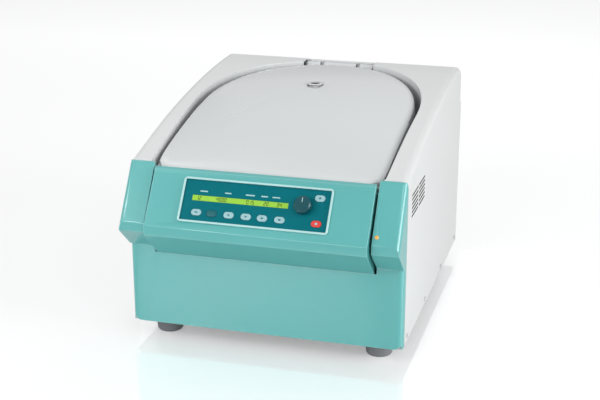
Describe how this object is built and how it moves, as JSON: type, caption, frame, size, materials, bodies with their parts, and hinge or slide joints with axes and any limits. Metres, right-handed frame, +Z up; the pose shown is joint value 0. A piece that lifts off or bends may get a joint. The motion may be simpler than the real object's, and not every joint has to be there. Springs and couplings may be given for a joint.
{
  "type": "microplate centrifuge",
  "caption": "Benchtop centrifuge with a teal front console, hinged white lid and swing-out rotor for microplates.",
  "frame": {"origin": "centre of the bounding box at the bottom of the feet", "axes": "+X to the machine's right seen from the front, +Y from the console to the rear panel, +Z up"},
  "size_m": [0.5568, 0.706, 0.4566],
  "materials": {
    "white_paint": "fine gloss powder coat, pale grey white",
    "teal_plastic": "moulded polyurethane front, satin teal",
    "aqua_plastic": "pale aqua moulding",
    "petrol_foil": "dark petrol printed foil",
    "pale_key": "grey green key",
    "red_key": "red key",
    "knob_plastic": "dark petrol knob",
    "display": "lit lime display",
    "board": "green circuit board",
    "lamp_lens": "amber lens",
    "dark_plastic": "black moulding",
    "stainless": "turned stainless sheet",
    "bright_steel": "zinc plated steel",
    "rotor_aluminium": "anodised aluminium",
    "motor_cast": "dark cast housing",
    "rubber": "black rubber",
    "foot_rubber": "mid grey rubber",
    "port_glass": "clear disc"
  },
  "bodies": {
    "housing": {"base_pan": "bright_steel", "case_shell": "white_paint", "rear_panel": "white_paint", "deck_plate": "white_paint", "front_panel": "teal_plastic", "console": "teal_plastic", "keypad_frame": "aqua_plastic", "keypad_plate": "petrol_foil", "display_window": "display", "control_board": "board", "pilot_lamp": "lamp_lens", "release_bush": "dark_plastic", "rotor_bowl": "stainless", "guard_ring": "bright_steel", "bowl_seal": "rubber", "drive_motor": "motor_cast", "motor_plate": "bright_steel", "motor_dampers": "rubber", "hinge_brackets": "bright_steel", "hinge_pins": "bright_steel", "hinge_springs": "bright_steel", "rear_crossbar": "bright_steel", "latch_units": "dark_plastic", "power_board": "board", "heat_sink": "rotor_aluminium", "mains_inlet": "dark_plastic", "switch_frame": "dark_plastic", "feet": "foot_rubber", "case_screws": "bright_steel"},
    "lid": {"lid_cover": "white_paint", "lid_plate": "stainless", "lid_window": "port_glass", "window_ring": "stainless", "hinge_arms": "bright_steel", "lid_strikers": "bright_steel"},
    "rotor": {"drive_shaft": "bright_steel", "rotor_yoke": "rotor_aluminium", "rotor_nut": "rotor_aluminium"},
    "left_carrier": {"left_carrier": "rotor_aluminium"},
    "right_carrier": {"right_carrier": "rotor_aluminium"},
    "knob": {"setting_knob": "knob_plastic"},
    "key_1": {"key_1": "pale_key"},
    "key_2": {"key_2": "petrol_foil"},
    "key_3": {"key_3": "pale_key"},
    "key_4": {"key_4": "pale_key"},
    "key_5": {"key_5": "pale_key"},
    "key_6": {"key_6": "pale_key"},
    "start_key": {"start_key": "pale_key"},
    "stop_key": {"stop_key": "red_key"},
    "left_bolt": {"left_bolt": "bright_steel"},
    "right_bolt": {"right_bolt": "bright_steel"},
    "rocker": {"mains_rocker": "dark_plastic"}
  },
  "joints": [
    {"name": "lid_hinge", "type": "hinge", "parent": "housing", "child": "lid", "pos_m": [0, 0.32, 0.438], "axis": [-1, 0, 0], "range_deg": [0, 65]},
    {"name": "rotor_spin", "type": "hinge", "parent": "housing", "child": "rotor", "pos_m": [0, 0.095, 0.2717], "axis": [0, 0, 1], "continuous": true},
    {"name": "left_carrier_swing", "type": "hinge", "parent": "rotor", "child": "left_carrier", "pos_m": [-0.084, 0.095, 0.2717], "axis": [0, 1, 0], "range_deg": [0, 90]},
    {"name": "right_carrier_swing", "type": "hinge", "parent": "rotor", "child": "right_carrier", "pos_m": [0.084, 0.095, 0.2717], "axis": [0, -1, 0], "range_deg": [0, 90]},
    {"name": "knob_turn", "type": "hinge", "parent": "housing", "child": "knob", "pos_m": [0.0875, -0.31279, 0.32009], "axis": [0, -0.8044, 0.5941], "continuous": true},
    {"name": "key_1_press", "type": "slide", "parent": "housing", "child": "key_1", "axis": [0, 0.8044, -0.5941], "range_m": [0, 0.001], "stiffness_N_per_m": 1000},
    {"name": "key_2_press", "type": "slide", "parent": "housing", "child": "key_2", "axis": [0, 0.8044, -0.5941], "range_m": [0, 0.001], "stiffness_N_per_m": 1000},
    {"name": "key_3_press", "type": "slide", "parent": "housing", "child": "key_3", "axis": [0, 0.8044, -0.5941], "range_m": [0, 0.001], "stiffness_N_per_m": 1000},
    {"name": "key_4_press", "type": "slide", "parent": "housing", "child": "key_4", "axis": [0, 0.8044, -0.5941], "range_m": [0, 0.001], "stiffness_N_per_m": 1000},
    {"name": "key_5_press", "type": "slide", "parent": "housing", "child": "key_5", "axis": [0, 0.8044, -0.5941], "range_m": [0, 0.001], "stiffness_N_per_m": 1000},
    {"name": "key_6_press", "type": "slide", "parent": "housing", "child": "key_6", "axis": [0, 0.8044, -0.5941], "range_m": [0, 0.001], "stiffness_N_per_m": 1000},
    {"name": "start_key_press", "type": "slide", "parent": "housing", "child": "start_key", "axis": [0, 0.8044, -0.5941], "range_m": [0, 0.001], "stiffness_N_per_m": 1000},
    {"name": "stop_key_press", "type": "slide", "parent": "housing", "child": "stop_key", "axis": [0, 0.8044, -0.5941], "range_m": [0, 0.001], "stiffness_N_per_m": 1000},
    {"name": "left_bolt_slide", "type": "slide", "parent": "housing", "child": "left_bolt", "axis": [1, 0, 0], "range_m": [0, 0.01]},
    {"name": "right_bolt_slide", "type": "slide", "parent": "housing", "child": "right_bolt", "axis": [1, 0, 0], "range_m": [0, 0.01]},
    {"name": "rocker_tip", "type": "hinge", "parent": "housing", "child": "rocker", "pos_m": [-0.14, 0.3457, 0.106], "axis": [1, 0, 0], "range_deg": [0, 16]}
  ],
  "couplings": [
    {"joint": "right_bolt_slide", "follows": "left_bolt_slide", "ratio": 1}
  ]
}
